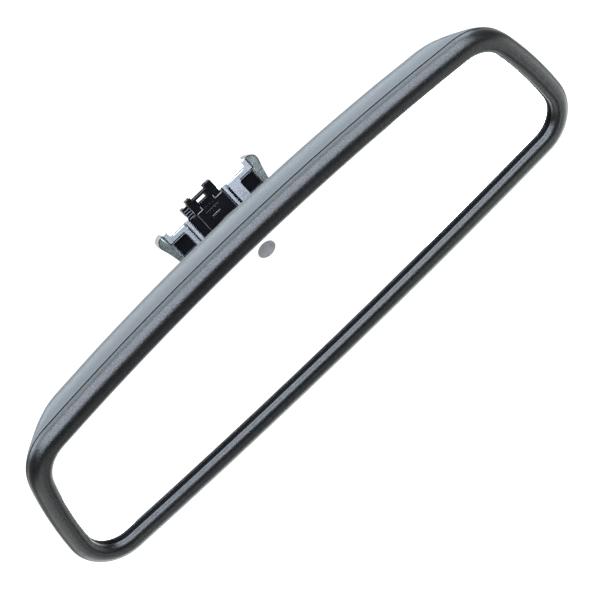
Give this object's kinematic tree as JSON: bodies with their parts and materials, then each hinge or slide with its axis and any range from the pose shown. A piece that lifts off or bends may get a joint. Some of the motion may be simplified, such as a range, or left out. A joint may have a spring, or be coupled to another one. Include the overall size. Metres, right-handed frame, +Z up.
{
  "type": "interior rearview mirror",
  "caption": "Auto-dimming interior rearview mirror head on a ball joint with a clip-on bracket and its electrical connector.",
  "frame": {"origin": "centre of the mounting bracket's seating face", "axes": "+X along the mirror's width to the driver-facing viewer's right, the glass faces -Y, +Z up; the seat's normal leans 30 degrees from +Z towards +Y"},
  "size_m": [0.2578, 0.0775, 0.0779],
  "materials": {
    "bezel_plastic": "fine-grained",
    "housing_plastic": "satin",
    "lip_rubber": "smooth",
    "mirror_face": "polished",
    "mirror_rear": "polished",
    "cell_gel": "clear gel",
    "cell_epoxy": "cured epoxy",
    "contact_copper": "bright",
    "foam": "foam",
    "sensor_grey": "glossy",
    "carrier_plastic": "moulded",
    "liner_acetal": "natural acetal",
    "zinc_steel": "zinc plated",
    "spring_steel": "bright",
    "cast_bracket": "tumbled casting",
    "stud_steel": "satin plated",
    "board_green": "solder mask",
    "chip_black": "moulded epoxy",
    "can_aluminium": "drawn can",
    "diode_clear": "clear epoxy",
    "connector_black": "glass-filled nylon",
    "header_white": "nylon",
    "lead_sheath": "sheath",
    "trim_rubber": "soft",
    "pin_tin": "tinned",
    "lens_smoke": "smoked lens"
  },
  "bodies": {
    "mount": {"mount_bracket": "cast_bracket", "window_inserts": "connector_black", "spring_clip_left": "spring_steel", "spring_clip_right": "spring_steel", "connector_housing": "connector_black", "connector_pins": "pin_tin", "ball_stud": "stud_steel", "stud_washer": "zinc_steel", "stud_nut": "zinc_steel", "mount_lead": "lead_sheath"},
    "lock": {"connector_lock": "connector_black"},
    "liner": {"socket_liner": "liner_acetal"},
    "cup": {"socket_cup": "zinc_steel"},
    "head": {"bezel": "bezel_plastic", "lip_seal": "lip_rubber", "front_glass": "mirror_face", "dimming_gel": "cell_gel", "cell_seal": "cell_epoxy", "rear_glass": "mirror_rear", "foam_pad": "foam", "contact_strip_top": "contact_copper", "contact_strip_bottom": "contact_copper", "sensor_window": "sensor_grey", "carrier_plate": "carrier_plastic", "socket_block": "carrier_plastic", "socket_retainer": "carrier_plastic", "retainer_screws": "zinc_steel", "spring_washer": "spring_steel", "circuit_board": "board_green", "board_screws": "zinc_steel", "microcontroller": "chip_black", "power_capacitors": "can_aluminium", "board_chips": "chip_black", "glare_photodiode": "diode_clear", "light_tube": "chip_black", "ambient_photodiode": "diode_clear", "ambient_lens": "lens_smoke", "board_header": "header_white", "lead_plug": "header_white", "head_lead": "lead_sheath", "rear_housing": "housing_plastic", "carrier_screws": "zinc_steel", "neck_ring": "trim_rubber"}
  },
  "joints": [
    {"name": "mirror_swing", "type": "hinge", "parent": "mount", "child": "liner", "pos_m": [0, -0.04135, -0.01265], "axis": [0, 0, 1], "range_deg": [-20, 20]},
    {"name": "mirror_tilt", "type": "hinge", "parent": "liner", "child": "cup", "pos_m": [0, -0.04135, -0.01265], "axis": [1, 0, 0], "range_deg": [-15, 15]},
    {"name": "mirror_roll", "type": "hinge", "parent": "cup", "child": "head", "pos_m": [0, -0.04135, -0.01265], "axis": [0, 1, 0], "range_deg": [-8, 8]},
    {"name": "connector_lock_slide", "type": "slide", "parent": "mount", "child": "lock", "axis": [0, 0.5, 0.866], "range_m": [0, 0.0015]}
  ]
}
